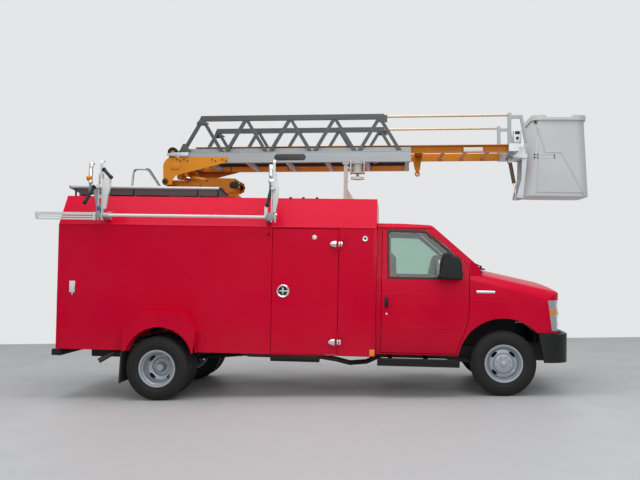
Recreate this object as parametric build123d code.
from build123d import *
from math import atan2, cos, degrees, hypot, radians, sin
import os

# Truck with a service box body and a telescopic ladder lift with a bucket.
# Millimetres. +X points to the front of the vehicle, +Y to its left, +Z up, ground at z = 0.
# X is first counted from the rear axle; the finished part is moved so that its origin lies
# under the middle of its outline. Everything on springs sits nose down by RAKE.

# Chassis
WHEELBASE = 4013
RAKE = 2.1
TYRE_DIAMETER = 744
TYRE_WIDTH = 225
RIM_DIAMETER = 424
FRONT_TRACK = 1760
DUAL_OUTER_TRACK = 2120
DUAL_SPACING = 290
FRAME_WIDTH = 860
FRAME_TOP = 660
FRAME_HEIGHT = 150
RAIL_FLANGE = 60
RAIL_WALL = 8

# Box body
BOX_LENGTH = 3805
BOX_REAR = -1275
BOX_WIDTH = 2040
BOX_BOTTOM = 560
COVE_Z = 2062
ROOF_Z = 2412
COVE_INSET = 250
WALL = 30
FLOOR_TOP = 740
FLOOR_THICKNESS = 50
ARCH_RADIUS = 407
ARCH_CENTRE = (20, 452)
FLARE_DEPTH = 180
DOOR_GAP = 6
DOOR_THICKNESS = 40
SIDE_DOOR_REAR = 1308
SIDE_DOOR_WIDTH = 787
SIDE_DOOR_TOP = 2040
REAR_DOOR_HALF = 800
REAR_DOOR_TOP = 2150
HINGE_RADIUS = 14

# Cab
CAB_REAR = 2536
CAB_HALF = 1000
CAB_WALL = 45
CAB_DOOR_REAR = 2593
CAB_DOOR_FRONT = 3612
CAB_DOOR_BOTTOM = 607
CAB_DOOR_TOP = 2045
DOOR_LIP = 12
DOOR_FOOT_Y = 918
CAB_FLOOR = 800
BELT_Z = 1480
NOSE_X = 4690
FRONT_ARCH_RADIUS = 520
GLASS = 6

# Roof gear
PLATFORM_REAR = -1281
PLATFORM_FRONT = 612
PLATFORM_RISE = 133
PLATFORM_GAP = 21
PLATFORM_HALF = 700
PLATFORM_STRIP = 240
RACK_Y = -1120
RACK_RISE = 98
RACK_SHAFT_RADIUS = 15
RACK_REAR_X = -735
RACK_FRONT_X = 1300
RACK_SPAN_REAR = -1535

# Lift
TURRET_X = 480
TURRET_BASE_RADIUS = 235
TURRET_RISE = 88
PIVOT_X = -122
PIVOT_RISE = 127
CYLINDER_PIN_X = 674
CYLINDER_PIN_RISE = 119
BOOM_STOW = 0.9
BEAM_REAR = 170
BEAM_LENGTH = 2885
BEAM_BOTTOM = 225
BEAM_LEDGE = 358
BEAM_TOP = 412
BEAM_HALF = 520
BEAM_DEPTH = 70
TRUSS_PITCH = 553
TRUSS_FIRST = 458
TRUSS_TOP = 817
CHORD = 62
CHORD_WALL = 5
FLY_REAR = 355
FLY_FRONT = 4235
FLY_TOP = 437
FLY_HEIGHT = 94
FLY_HALF = 435
FLY_WIDTH = 60
HANDRAIL_RADIUS = 15
PAD_LENGTH = 60
BUCKET_WIDTH = 650
BUCKET_RISE = 15
BUCKET_HEIGHT = 995
BUCKET_WALL = 8

# Clearances
SEAT = 0.3
PIN_PLAY = 0.1
RUN = 10

# Worked-out places
TYRE_RADIUS = TYRE_DIAMETER / 2
RIM_RADIUS = RIM_DIAMETER / 2
AXLE_Z = TYRE_RADIUS
BOX_FRONT = BOX_REAR + BOX_LENGTH
BOX_HALF = BOX_WIDTH / 2
ROOF_HALF = BOX_HALF - COVE_INSET
SIDE_DOOR_FRONT = SIDE_DOOR_REAR + SIDE_DOOR_WIDTH
TRUSS_Y = BEAM_HALF - BEAM_DEPTH / 2
RACK_Z = COVE_Z + RACK_RISE
PLATFORM_TOP = ROOF_Z + PLATFORM_RISE
PLATFORM_UNDER = ROOF_Z + PLATFORM_GAP
TURRET_BASE_Z = ROOF_Z + TURRET_RISE
LIFT_PIVOT = (PIVOT_X, TURRET_BASE_Z + PIVOT_RISE)
CYLINDER_PIN = (CYLINDER_PIN_X, TURRET_BASE_Z + CYLINDER_PIN_RISE)
BUCKET_BOTTOM = TURRET_BASE_Z + BUCKET_RISE
BUCKET_TOP = BUCKET_BOTTOM + BUCKET_HEIGHT
BEAM_FRONT = BEAM_REAR + BEAM_LENGTH
# The front wheel centre as the sprung, raked body sees it.
FRONT_X = WHEELBASE * cos(radians(RAKE))
FRONT_Z = AXLE_Z + WHEELBASE * sin(radians(RAKE))


def block(x0, x1, y0, y1, z0, z1):
    """A box between two corners."""
    return Pos((x0 + x1) / 2, (y0 + y1) / 2, (z0 + z1) / 2) * Box(x1 - x0, y1 - y0, z1 - z0)


def slab_y(points, y0, y1):
    """A side-view outline of (x, z) points, solid from y0 to y1."""
    face = Plane.XZ * make_face(Polyline(*points, close=True))
    return Pos(0, y1, 0) * extrude(face, amount=y1 - y0)


def slab_x(points, x0, x1):
    """A front-view outline of (y, z) points, solid from x0 to x1."""
    face = Plane.YZ * make_face(Polyline(*points, close=True))
    return Pos(x0, 0, 0) * extrude(face, amount=x1 - x0)


def slab_z(points, z0, z1):
    """A plan outline of (x, y) points, solid from z0 to z1."""
    return Pos(0, 0, z0) * extrude(make_face(Polyline(*points, close=True)), amount=z1 - z0)


def rod(start, end, radius, bore=0):
    """A round bar or, with a bore radius, a tube from one point to another."""
    line = Vector(*end) - Vector(*start)
    place = Plane(origin=start, z_dir=line)
    shape = place * extrude(Circle(radius), amount=line.length)
    if bore:
        shape -= place * extrude(Circle(bore), amount=line.length)
    return shape


def bar(start, end, width, y0, y1):
    """A flat bar of a given width in side view, between two (x, z) points."""
    length = hypot(end[0] - start[0], end[1] - start[1])
    angle = degrees(atan2(end[1] - start[1], end[0] - start[0]))
    piece = Box(length, y1 - y0, width, align=(Align.MIN, Align.MIN, Align.CENTER))
    return Pos(start[0], y0, start[1]) * Rot(0, -angle, 0) * piece


def disc_y(x, z, radius, y0, y1):
    """A disc or pin across the vehicle."""
    return rod((x, y0, z), (x, y1, z), radius)


def both_sides(shape):
    """The shape and its mirror image on the other side of the vehicle."""
    return shape + mirror(shape, Plane.XZ)


def seated(shape):
    """Moves a sprung piece from level to its nose-down place about the rear axle."""
    return Pos(0, 0, AXLE_Z) * Rot(0, RAKE, 0) * Pos(0, 0, -AXLE_Z) * shape


def on_boom(shape):
    """Moves a piece from the boom's own frame, with the lift pivot at 0, to its stowed place."""
    return Pos(LIFT_PIVOT[0], 0, LIFT_PIVOT[1]) * Rot(0, -BOOM_STOW, 0) * shape


def boom_point(u, v):
    """The level-body (x, z) of a point in the boom's own frame."""
    a = radians(BOOM_STOW)
    return (LIFT_PIVOT[0] + u * cos(a) - v * sin(a), LIFT_PIVOT[1] + u * sin(a) + v * cos(a))


def seat_point(x, y, z):
    """The finished place of a point of the level body, still counted from the rear axle."""
    a = radians(RAKE)
    dz = z - AXLE_Z
    return (x * cos(a) + dz * sin(a), y, AXLE_Z - x * sin(a) + dz * cos(a))


def seat_direction(x, y, z):
    """The finished direction of a direction of the level body."""
    a = radians(RAKE)
    return (x * cos(a) + z * sin(a), y, -x * sin(a) + z * cos(a))


def tyre(y):
    """A tyre on the origin's axle, with its middle at y."""
    half = TYRE_WIDTH / 2
    outline = [
        (RIM_RADIUS, -half + 28), (RIM_RADIUS + 45, -half + 4), (RIM_RADIUS + 85, -half),
        (TYRE_RADIUS - 22, -half + 12), (TYRE_RADIUS - 3, -half + 32), (TYRE_RADIUS, 0),
        (TYRE_RADIUS - 3, half - 32), (TYRE_RADIUS - 22, half - 12), (RIM_RADIUS + 85, half),
        (RIM_RADIUS + 45, half - 4), (RIM_RADIUS, half - 28),
    ]
    face = Plane.YX * make_face(Polyline(*[(v, r) for r, v in outline], close=True))
    return Pos(0, y, 0) * revolve(face, Axis.Y)


def rim(y, outward, dish):
    """A steel wheel: its barrel, its disc set by dish towards the outward side, four hand holes."""
    half = TYRE_WIDTH / 2
    edge = RIM_RADIUS - SEAT
    barrel = [
        (edge - 10, -half + 14), (edge + 9, -half + 14), (edge + 9, -half + 22), (edge, -half + 27),
        (edge, half - 27), (edge + 9, half - 22), (edge + 9, half - 14), (edge - 10, half - 14),
        (edge - 12, half - 32), (edge - 34, half - 62), (edge - 34, -half + 62), (edge - 12, -half + 32),
    ]
    shape = revolve(Plane.YX * make_face(Polyline(*[(v, r) for r, v in barrel], close=True)), Axis.Y)
    foot = min(dish - 62, 45)
    disc = [
        (57, dish), (96, dish), (112, dish - 34), (150, dish - 34), (edge - 33, foot),
        (edge - 33, foot - 12), (146, dish - 46), (104, dish - 46), (88, dish - 12), (57, dish - 12),
    ]
    web = revolve(Plane.YX * make_face(Polyline(*[(v, r) for r, v in disc], close=True)), Axis.Y)
    for k in range(4):
        slot = Rot(0, 45 + 90 * k, 0) * block(130, 160, -half, half, -34, 34)
        web -= slot
    shape += web
    if outward < 0:
        shape = mirror(shape, Plane.XZ)
    return Pos(0, y, 0) * shape


def hub(y0, y1, radius):
    """A wheel hub that fills the rim's middle, with its cap."""
    return disc_y(0, 0, radius, min(y0, y1), max(y0, y1))


def front_wheel(side):
    """The tyre, and the rim with its hub, of a front wheel. side is 1 on the left."""
    y = side * FRONT_TRACK / 2
    wheel_rim = rim(y, side, 92)
    wheel_rim += hub(y + side * 20, y + side * 92, 58)
    wheel_rim += hub(y + side * 92, y + side * 122, 36)
    wheel_rim -= disc_y(0, 0, 22 + PIN_PLAY, min(y, y + side * 60), max(y, y + side * 60))
    return tyre(y), wheel_rim


def rear_wheels(side):
    """The twin tyres, and their two rims on one hub, of a rear corner."""
    outer = side * DUAL_OUTER_TRACK / 2
    inner = outer - side * DUAL_SPACING
    middle = outer - side * DUAL_SPACING / 2
    rims = rim(outer, -side, DUAL_SPACING / 2 - 6) + rim(inner, side, DUAL_SPACING / 2 - 6)
    rims += hub(middle - side * 80, middle + side * 125, 58) + hub(middle - side * 7, middle + side * 7, 96)
    rims -= disc_y(0, 0, REAR_SPINDLE_RADIUS + PIN_PLAY, *sorted((middle - side * 81, middle + side * 40)))
    return tyre(outer) + tyre(inner), rims


def at_front(shape):
    """Moves a piece from the origin's axle to the front axle."""
    return Pos(WHEELBASE, 0, AXLE_Z) * shape


def at_rear(shape):
    """Moves a piece from the origin's axle to the rear axle."""
    return Pos(0, 0, AXLE_Z) * shape


# Under the body
FRAME_REAR = BOX_REAR + 60
FRAME_FRONT = 4560
FRAME_HALF = FRAME_WIDTH / 2
FRAME_BOTTOM = FRAME_TOP - FRAME_HEIGHT
KINGPIN_OFFSET = 90
KINGPIN_Y = FRONT_TRACK / 2 - KINGPIN_OFFSET
KINGPIN_RADIUS = 16
SPINDLE_RADIUS = 22
REAR_SPINDLE_RADIUS = 35
AXLE_TUBE_RADIUS = 55
SPRING_Y = 540
CROSSMEMBER_BOTTOM = FRAME_TOP - 90
FIREWALL_X = 3540
PINION_END = 250
ENGINE_BOTTOM = FRONT_Z + 90
COIL_Y = 500
COIL_RADIUS = 46
SPRING_SEAT_Z = FRAME_TOP - 20
ARM_REAR = 3200
ARM_Y = 480
MUFFLER_X = 1250
MUFFLER_Y = -530
PIPE_RADIUS = 30


def chassis_frame():
    """Two channel rails, their crossmembers and the body's cross sills."""
    flange = [
        (FRAME_HALF, FRAME_BOTTOM), (FRAME_HALF, FRAME_TOP), (FRAME_HALF - RAIL_FLANGE, FRAME_TOP),
        (FRAME_HALF - RAIL_FLANGE, FRAME_TOP - RAIL_WALL), (FRAME_HALF - RAIL_WALL, FRAME_TOP - RAIL_WALL),
        (FRAME_HALF - RAIL_WALL, FRAME_BOTTOM + RAIL_WALL), (FRAME_HALF - RAIL_FLANGE, FRAME_BOTTOM + RAIL_WALL),
        (FRAME_HALF - RAIL_FLANGE, FRAME_BOTTOM),
    ]
    shape = both_sides(slab_x(flange, FRAME_REAR, FRAME_FRONT))
    inner = FRAME_HALF - RAIL_WALL
    for x in (FRAME_REAR, -560, 620, 1700, 4470):
        shape += block(x, x + 70, -inner, inner, CROSSMEMBER_BOTTOM, FRAME_TOP - RAIL_WALL)
    shape += block(2940, 3010, -inner, inner, FRAME_BOTTOM + 20, ENGINE_BOTTOM + 15 - SEAT)
    # The crossmember under the engine, with the spring seats outboard of the rails.
    shape += block(FRONT_X - 60, FRONT_X + 60, -inner, inner, ENGINE_BOTTOM - SEAT - 50, ENGINE_BOTTOM - SEAT)
    seat = block(FRONT_X - 75, FRONT_X + 75, FRAME_HALF - 1, COIL_Y + 60, SPRING_SEAT_Z, SPRING_SEAT_Z + 20)
    hanger = block(ARM_REAR - 20, ARM_REAR + 40, FRAME_HALF - 1, ARM_Y - SEAT, FRAME_BOTTOM + 10, FRAME_TOP - 50)
    return shape + both_sides(seat + hanger)


def engine():
    """The engine as one plain block, with the gearbox and the propeller shaft behind it."""
    motor = block(FIREWALL_X + 30, 4250, -230, 230, ENGINE_BOTTOM, 1180)
    gearbox = block(2840, FIREWALL_X + 31, -130, 130, ENGINE_BOTTOM + 15, CAB_FLOOR - 40)
    return motor + gearbox + rod((2850, 0, 648), (PINION_END + 8, 0, 392), 28)


def fuel_tank():
    """The tank between the rails behind the rear axle."""
    tank = block(-1080, -480, -340, 340, 400, CROSSMEMBER_BOTTOM - SEAT)
    return fillet(tank.edges().filter_by(Axis.X), 30)


def exhaust():
    """The muffler outside the right rail, its front pipe from the engine and the tail pipe over the axle."""
    muffler = rod((MUFFLER_X, MUFFLER_Y, 500), (MUFFLER_X + 600, MUFFLER_Y, 500), 75)
    tail = FilletPolyline((MUFFLER_X + 10, MUFFLER_Y, 500), (980, MUFFLER_Y, 500), (740, -614, 600),
                          (-500, -614, 600), (-590, -880, 530), (-770, -950, 417), radius=60)
    front = FilletPolyline((MUFFLER_X + 590, MUFFLER_Y, 500), (2060, MUFFLER_Y, 470), (2220, MUFFLER_Y + 60, 425),
                           (2420, -290, 425), (2600, -180, 500), (3640, -180, 500), (3640, -180, ENGINE_BOTTOM - SEAT),
                           radius=50)
    shape = muffler
    for line in (tail, front):
        start = Plane(origin=line @ 0, z_dir=line % 0)
        shape += sweep(start * Circle(PIPE_RADIUS), line)
    end = Vector(-770, -950, 417)
    back = Vector(180, 70, 113).normalized()
    shape -= rod(tuple(end - back * 5), tuple(end + back * 60), PIPE_RADIUS - 4)
    return shape


def wheel_arch_prism(half):
    """The round space of a rear wheel arch, across the vehicle."""
    x, z = ARCH_CENTRE
    return disc_y(x, z, ARCH_RADIUS, -half, half) + block(
        x - ARCH_RADIUS + 14, x + ARCH_RADIUS - 14, -half, half, z - 300, z + 90)


def front_axle():
    """The dropped axle beam with its forked ends, king pins, arms to the frame and coil springs."""
    x, low, high = WHEELBASE, AXLE_Z - 110, AXLE_Z - 40
    shape = block(x - 35, x + 35, 150 - KINGPIN_Y, KINGPIN_Y - 150, low, high)
    spring_top = seat_point(FRONT_X + COIL_RADIUS, 0, SPRING_SEAT_Z)[2] - SEAT
    for side in (1, -1):
        y0, y1 = sorted((side * (KINGPIN_Y - 170), side * (KINGPIN_Y + 22)))
        for dz in (-128, 100):
            shape += block(x - 30, x + 30, y0, y1, AXLE_Z + dz, AXLE_Z + dz + 28)
        y0, y1 = sorted((side * (KINGPIN_Y - 170), side * (KINGPIN_Y - 135)))
        shape += block(x - 30, x + 30, y0, y1, AXLE_Z - 128, AXLE_Z + 128)
        y = side * KINGPIN_Y
        shape += rod((x, y, AXLE_Z - 101), (x, y, AXLE_Z + 101), KINGPIN_RADIUS)
        y0, y1 = sorted((side * ARM_Y, side * (ARM_Y + 40)))
        tail_z = seat_point(ARM_REAR, 0, FRAME_BOTTOM + 45)[2]
        shape += slab_y([(x, low), (x, high), (ARM_REAR - 15, tail_z + 20), (ARM_REAR - 15, tail_z - 20)], y0, y1)
        for k in range(5):
            z = high - 1 + k * (spring_top - high + 1) / 5
            rise = (spring_top - high + 1) / 5
            shape += rod((x, side * COIL_Y, z), (x, side * COIL_Y, z + rise), COIL_RADIUS if k % 2 == 0 else 34)
    return shape


def knuckle(side):
    """A steering knuckle: an eye on the king pin and the spindle that carries the wheel."""
    y = side * KINGPIN_Y
    eye = rod((WHEELBASE, y, AXLE_Z - 100 + SEAT), (WHEELBASE, y, AXLE_Z + 100 - SEAT), 30)
    end = side * (FRONT_TRACK / 2 + 55)
    spindle = disc_y(WHEELBASE, AXLE_Z, SPINDLE_RADIUS, *sorted((y, end)))
    backing = disc_y(WHEELBASE, AXLE_Z, 120, *sorted((y + side * 43, y + side * 53)))
    shape = eye + spindle + backing
    shape -= rod((WHEELBASE, y, AXLE_Z - 100), (WHEELBASE, y, AXLE_Z + 100), KINGPIN_RADIUS + PIN_PLAY)
    return shape


def rear_axle():
    """The axle tube with its differential, and the leaf springs in their clamps."""
    middle = (DUAL_OUTER_TRACK - DUAL_SPACING) / 2
    shape = disc_y(0, AXLE_Z, AXLE_TUBE_RADIUS, -middle + 86, middle - 86)
    shape += disc_y(0, AXLE_Z, REAR_SPINDLE_RADIUS, -middle - 34, middle + 34)
    shape += Pos(0, 0, AXLE_Z) * Sphere(160)
    shape += rod((0, 0, AXLE_Z), (PINION_END, 0, AXLE_Z + 10), 55)
    for side in (1, -1):
        y0, y1 = sorted((side * (SPRING_Y - 32), side * (SPRING_Y + 32)))
        for k in range(4):
            reach = 620 - 130 * k
            z = AXLE_Z + 100 - 14 * k
            leaf = slab_y([(-reach, z + 40 * reach / 620), (0, z), (reach, z + 40 * reach / 620),
                           (reach, z + 40 * reach / 620 - 13), (0, z - 14), (-reach, z + 40 * reach / 620 - 13)], y0, y1)
            shape += leaf
        shape += block(-60, 60, y0 - 10, y1 + 10, AXLE_Z + 30, AXLE_Z + 118)
        for x in (-600, 600):
            shape += block(x - 20, x + 20, *sorted((side * (FRAME_HALF + SEAT), side * (SPRING_Y + 32))),
                           AXLE_Z + 118, AXLE_Z + 168)
    return shape


def box_outline(inset):
    """The body's front view, moved in by inset: straight sides and slanted coves under a flat roof."""
    slant = hypot(ROOF_Z - COVE_Z, COVE_INSET)
    knee = inset * (slant - (ROOF_Z - COVE_Z)) / COVE_INSET
    crest = inset * (slant - COVE_INSET) / (ROOF_Z - COVE_Z)
    half = [(BOX_HALF - inset, COVE_Z - knee), (ROOF_HALF - crest, ROOF_Z - inset)]
    return [(-BOX_HALF + inset, BOX_BOTTOM), (BOX_HALF - inset, BOX_BOTTOM), *half,
            *[(-y, z) for y, z in reversed(half)]]


def side_door_prism(gap):
    """The side door's outline, moved in by a gap on every edge, through the right wall."""
    return block(SIDE_DOOR_REAR + gap, SIDE_DOOR_FRONT - gap, -BOX_HALF - 50, -BOX_HALF + 120,
                 BOX_BOTTOM + 8 + gap, SIDE_DOOR_TOP - gap)


def rear_door_prism(gap):
    """The rear doorway's outline, moved in by a gap on every edge."""
    return block(BOX_REAR - 50, BOX_REAR + 120, -REAR_DOOR_HALF + gap, REAR_DOOR_HALF - gap,
                 FLOOR_TOP + gap, REAR_DOOR_TOP - gap)


COLUMN = 160
SIDE_KNUCKLE = 60
SIDE_HINGES = (722, 1854)
REAR_HINGES = (900, 1420, 1920)
SIDE_DOOR_HINGE = (SIDE_DOOR_FRONT + 4, -BOX_HALF - HINGE_RADIUS - 2)
REAR_DOOR_HINGE = (BOX_REAR - HINGE_RADIUS - 2, REAR_DOOR_HALF + 4)
WHEEL_HOUSE_TOP = 890
WHEEL_HOUSE_HALF = 430
WHEEL_HOUSE_INNER = 590
PANEL = 12


def box_body():
    """The hollow body: walls, coves, roof, bulkhead, floor and the boxes over the rear wheels."""
    shape = slab_x(box_outline(0), BOX_REAR, BOX_FRONT)
    shape -= slab_x(box_outline(WALL), BOX_REAR + WALL, BOX_FRONT - WALL)
    shape -= side_door_prism(0)
    shape -= rear_door_prism(0)
    inner = BOX_HALF - WALL
    floor = block(BOX_REAR + WALL, BOX_FRONT - WALL, -inner, inner, FLOOR_TOP - FLOOR_THICKNESS, FLOOR_TOP)
    house_x = (-WHEEL_HOUSE_HALF, WHEEL_HOUSE_HALF)
    for side in (1, -1):
        y0, y1 = sorted((side * WHEEL_HOUSE_INNER, side * inner))
        low, high = (y0 + PANEL, y1) if side > 0 else (y0, y1 - PANEL)
        house = block(*house_x, y0, y1, FLOOR_TOP - FLOOR_THICKNESS, WHEEL_HOUSE_TOP)
        house -= block(house_x[0] + PANEL, house_x[1] - PANEL, low, high, BOX_BOTTOM, WHEEL_HOUSE_TOP - PANEL)
        floor -= block(*house_x, y0, y1, 0, FLOOR_TOP + 10)
        floor += house
    shape += floor
    shape -= wheel_arch_prism(BOX_HALF + 10)
    # The bulkhead is open below the floor, and the roof lets the lift's column through.
    shape -= block(BOX_FRONT - WALL - 10, BOX_FRONT + 10, -inner + 60, inner - 60, 0, FLOOR_TOP - FLOOR_THICKNESS)
    half = COLUMN / 2 + SEAT
    shape -= block(TURRET_X - half, TURRET_X + half, -half, half, ROOF_Z - WALL - 10, ROOF_Z + 10)
    # Cross sills carry the floor on the frame rails.
    for x in (-1150, -620, 620, 1160, 1700, 2240):
        for side in (1, -1):
            y0, y1 = sorted((side * (FRAME_HALF - RAIL_FLANGE), side * inner))
            shape += block(x, x + 60, y0, y1, FRAME_TOP + SEAT, FLOOR_TOP - FLOOR_THICKNESS)
    depth = DOOR_THICKNESS + RUN
    shape -= side_door_prism(0) & block(0, 3000, -BOX_HALF - 10, -BOX_HALF + depth, 0, 3000)
    shape -= rear_door_prism(0) & block(BOX_REAR - 10, BOX_REAR + depth, -2000, 2000, 0, 3000)
    x, y = SIDE_DOOR_HINGE
    for z in SIDE_HINGES:
        shape += rod((x, y, z + SIDE_KNUCKLE + SEAT), (x, y, z + 2 * SIDE_KNUCKLE), HINGE_RADIUS)
        shape += block(x, x + 70, y - 3, -BOX_HALF + 1, z + SIDE_KNUCKLE + SEAT, z + 2 * SIDE_KNUCKLE)
    x, y = REAR_DOOR_HINGE
    fixed = Part()
    for z in REAR_HINGES:
        fixed += rod((x, y, z + SIDE_KNUCKLE + SEAT), (x, y, z + 2 * SIDE_KNUCKLE), HINGE_RADIUS)
        fixed += block(x - 3, BOX_REAR + 1, y, y + 70, z + SIDE_KNUCKLE + SEAT, z + 2 * SIDE_KNUCKLE)
    return shape + both_sides(fixed)


def flare(side):
    """The deep angular flare over a rear wheel, open inside."""
    outline = [(-428, 575), (-428, 814), (-226, 1045), (318, 1045), (462, 814), (440, 560)]
    tip = [(-412, 575), (-412, 808), (-219, 1029), (311, 1029), (446, 808), (426, 560)]
    wall = 6
    outer = BOX_HALF + FLARE_DEPTH

    def skin(inset, y_near, y_far):
        near = [(x + inset * (1 if x < 0 else -1), z - (inset if z > 700 else 0)) for x, z in outline]
        far = [(x + inset * (1 if x < 0 else -1), z - (inset if z > 700 else 0)) for x, z in tip]
        face_a = Plane(origin=(0, y_near, 0), x_dir=(1, 0, 0), z_dir=(0, -1, 0)) * make_face(
            Polyline(*near, close=True))
        face_b = Plane(origin=(0, y_far, 0), x_dir=(1, 0, 0), z_dir=(0, -1, 0)) * make_face(
            Polyline(*far, close=True))
        return loft([face_a, face_b], ruled=True)

    shape = skin(0, -BOX_HALF - SEAT, -outer)
    cavity = skin(wall, -BOX_HALF - SEAT, -outer)
    cavity = cavity & block(-600, 600, -outer + wall, 0, 0, 2000)
    shape -= cavity
    shape -= block(-428 + wall, 440 - wall, -outer + wall, 0, 500, 700)
    shape -= wheel_arch_prism(outer + 20)
    return shape if side < 0 else mirror(shape, Plane.XZ)


def path(start, *steps):
    """A closed outline: each step is the next point, or a mid point and an end point of an arc."""
    edges, here = [], start
    for step in steps:
        if isinstance(step[0], tuple):
            edges.append(ThreePointArc(here, step[0], step[1]))
            here = step[1]
        else:
            edges.append(Line(here, step))
            here = step
    if here != start:
        edges.append(Line(here, start))
    return Face(Wire(edges))


def through_y(face, half):
    """A side-view face made solid across the vehicle."""
    return Pos(0, half, 0) * extrude(Plane.XZ * face, amount=2 * half)


def inset_face(face, inset):
    """A face moved in by inset on every edge."""
    return Face(face.outer_wire().offset_2d(-inset, kind=Kind.ARC)) if inset else face


SILL_Z = 590
COWL = (3760, 1600)
HOOD_SLOPE = 12
BONNET_REAR = 3800
BONNET_HALF = 830
BAY_HALF = 880
WING_INSIDE = 950
LAMP_TOP = 1265
LAMP_BOTTOM = 905
BUMPER_TOP = 880


def cab_form(inset, stepped=True):
    """The cab's outer skin moved in by inset, stepped in behind the fenders unless told otherwise."""
    side = path((CAB_REAR, SILL_Z), (3700, SILL_Z), (3820, 1250), (3796, 1430), (3735, 1616), (3212, 2070),
                ((3180, 2096), (3130, 2108)), (CAB_REAR, 2135))
    front = path((-960, SILL_Z), (960, SILL_Z), ((CAB_HALF, 1050), (985, BELT_Z)), (878, 2060),
                 ((848, 2104), (780, 2122)), ((0, 2150), (-780, 2122)), ((-848, 2104), (-878, 2060)),
                 (-985, BELT_Z), ((-CAB_HALF, 1050), (-960, SILL_Z)))
    long_way = Pos(CAB_REAR, 0, 0) * extrude(Plane.YZ * inset_face(front, inset), amount=1400)
    shape = through_y(inset_face(side, inset), CAB_HALF + 10) & long_way
    if not stepped:
        return shape
    front_x = CAB_DOOR_FRONT + DOOR_GAP - inset
    plan = [(CAB_REAR - 20, -CAB_HALF - 20), (front_x, -CAB_HALF - 20), (front_x, inset - WING_INSIDE),
            (3830, inset - BAY_HALF), (3830, BAY_HALF - inset), (front_x, WING_INSIDE - inset),
            (front_x, CAB_HALF + 20), (CAB_REAR - 20, CAB_HALF + 20)]
    return shape & slab_z(plan, 0, 3000)


def nose_form(inset):
    """The nose's outer skin moved in by inset: fenders, bonnet and grille front."""
    side = path((3600, 620), (NOSE_X, 620), (NOSE_X, 1215), ((NOSE_X - 14, 1280), (4630, 1340)),
                ((4540, 1415), (4380, 1472)), (COWL[0], COWL[1]), (3600, COWL[1]))
    plan = path((3600, -CAB_HALF), (4330, -CAB_HALF), ((4560, -960), (4640, -840)), ((4680, -450), (NOSE_X, 0)),
                ((4680, 450), (4640, 840)), ((4560, 960), (4330, CAB_HALF)), (3600, CAB_HALF))
    low = path((-960, SILL_Z), (960, SILL_Z), ((CAB_HALF, 1050), (985, BELT_Z)), (980, 1800), (-980, 1800),
               (-985, BELT_Z), ((-CAB_HALF, 1050), (-960, SILL_Z)))
    crown = path((-1010, 0), (1010, 0), (1010, 1370), ((950, 1490), (830, 1540)), ((0, 1606), (-830, 1540)),
                 ((-950, 1490), (-1010, 1370)))
    shape = through_y(inset_face(side, inset), CAB_HALF + 10)
    shape &= extrude(inset_face(plan, inset), amount=2000)
    shape &= Pos(3500, 0, 0) * extrude(Plane.YZ * inset_face(low, inset), amount=1400)
    slope = Vector(cos(radians(HOOD_SLOPE)), 0, -sin(radians(HOOD_SLOPE)))
    start = Vector(3760, 0, 0) - slope * 300
    shape &= Pos(*start) * extrude(Plane.YZ * inset_face(crown, inset), amount=1500, dir=slope)
    return shape


def cab_door_prism(gap, y0, y1):
    """The cab door's outline, moved in by a gap, as a solid between two planes."""
    outline = path((CAB_DOOR_REAR, CAB_DOOR_BOTTOM), (3470, CAB_DOOR_BOTTOM), (3507, 734),
                   ((3590, 960), (CAB_DOOR_FRONT, 1243)), (CAB_DOOR_FRONT, 1630), (3165, 2012), (3120, CAB_DOOR_TOP),
                   (CAB_DOOR_REAR, CAB_DOOR_TOP))
    face = inset_face(outline, gap)
    return Pos(0, y1, 0) * extrude(Plane.XZ * face, amount=y1 - y0)


def door_window_prism(grow):
    """The door glass outline, through the whole cab."""
    outline = path((2700, 1497), (3500, 1497), (3500, 1640), (3365, 1805), (3085, 2018), (2673, 2026))
    return through_y(inset_face(outline, -grow), CAB_HALF + 60)


def windscreen_prism(grow):
    """The windscreen's outline seen from the front, through the slanted front of the cab."""
    half_top, half_foot = 745 + grow, 850 + grow
    return slab_x([(-half_foot, 1655 - grow), (half_foot, 1655 - grow), (half_top, 2030 + grow),
                   (-half_top, 2030 + grow)], 3170, 3900)


def front_arch():
    """The round space around both front wheels."""
    return both_sides(disc_y(FRONT_X, FRONT_Z, FRONT_ARCH_RADIUS, 545, CAB_HALF + 60))


def cab_shell():
    """Roof, pillars, sills, floor, cowl and firewall of the cab, open to the doors and glass."""
    shape = cab_form(0) - cab_form(CAB_WALL)
    shape -= both_sides(cab_door_prism(0, 700, CAB_HALF + 60))
    shape -= windscreen_prism(0)
    shape -= block(CAB_REAR - 10, CAB_REAR + CAB_WALL + 10, -850, 850, 0, 2050)
    shape -= block(3500, 3900, -BAY_HALF, BAY_HALF, 0, COWL[1] - 40)
    shape -= block(CAB_REAR - 10, 3600, -840, 840, 0, SILL_Z + CAB_WALL + 10)
    shape += block(CAB_REAR + 1, 3560, -930, 930, CAB_FLOOR - 20, CAB_FLOOR) & cab_form(20)
    shape += block(FIREWALL_X, FIREWALL_X + 20, -900, 900, CAB_FLOOR - 1, 1600) & cab_form(20)
    shape -= front_arch()
    for x in (2680, 3350):
        shape += both_sides(block(x, x + 90, FRAME_HALF - 60, FRAME_HALF, FRAME_TOP + SEAT, CAB_FLOOR - 19))
    # Hinge lugs on the firewall's ends stand just inside each door's front edge.
    lugs = Part()
    for z in (1110, 1400):
        lugs += block(FIREWALL_X + 5, 3604, 880, CAB_HALF, z, z + 60)
    # A drip rail runs above each door.
    rail = block(CAB_REAR + 8, 3155, 862, 884, CAB_DOOR_TOP + 22, CAB_DOOR_TOP + 30)
    return shape + both_sides((lugs & cab_form(CAB_WALL + SEAT)) + rail)


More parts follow.
